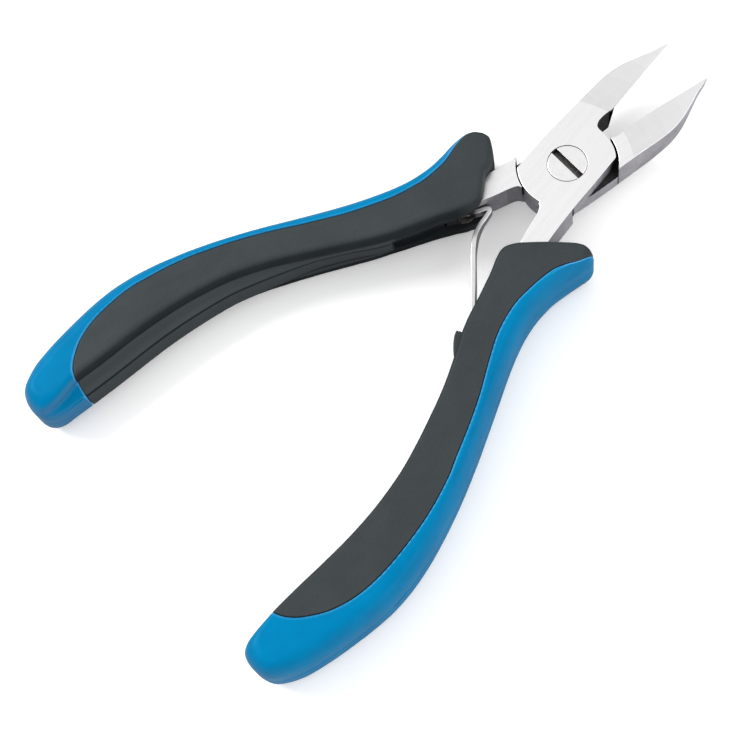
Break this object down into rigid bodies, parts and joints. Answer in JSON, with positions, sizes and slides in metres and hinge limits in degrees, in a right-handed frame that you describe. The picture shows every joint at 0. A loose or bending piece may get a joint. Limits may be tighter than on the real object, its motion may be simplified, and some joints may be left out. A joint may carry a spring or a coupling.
{
  "type": "diagonal cutting pliers",
  "caption": "Small lap-jointed diagonal cutters with flush slotted pivot screw, leaf return spring and curved two-colour moulded grips, shown open.",
  "frame": {"origin": "centre of the whole tool's bounding box as it stands open at rest, which is at mid thickness of the steel and of the grips; the pivot axis passes through x = 34.36 mm, y = 0", "axes": "+Z along the pivot axis out of the screw head's face; +X along the tool's centre line toward the jaw tips; +Y toward the upper jaw, so the handles run along -X"},
  "size_m": [0.126, 0.0746, 0.0124],
  "materials": {
    "polished_steel": "bright polished forged steel with fine directional polishing marks",
    "screw_steel": "bright turned steel",
    "spring_steel": "bright rolled spring strip",
    "black_grip": "matte, finely grained moulding",
    "blue_grip": "satin smooth moulding"
  },
  "bodies": {
    "lower_arm": {"lower_arm": "polished_steel", "left_grip_core": "black_grip", "left_grip_cover": "blue_grip", "pivot_screw": "screw_steel", "leaf_spring_foot": "spring_steel", "spring_rivet": "screw_steel"},
    "upper_arm": {"upper_arm": "polished_steel", "right_grip_core": "black_grip", "right_grip_cover": "blue_grip"},
    "spring_leg": {"leaf_spring_leg": "spring_steel"}
  },
  "joints": [
    {"name": "jaw_pivot", "type": "hinge", "parent": "lower_arm", "child": "upper_arm", "pos_m": [0.03436, 0, 0], "axis": [0, 0, 1], "range_deg": [-18.4, 8]},
    {"name": "spring_flex", "type": "hinge", "parent": "lower_arm", "child": "spring_leg", "pos_m": [0.01913, 0.00326, 0], "axis": [0, 0, 1], "range_deg": [-30, 13.2]}
  ],
  "couplings": [
    {"joint": "spring_flex", "follows": "jaw_pivot", "ratio": 1.62}
  ]
}
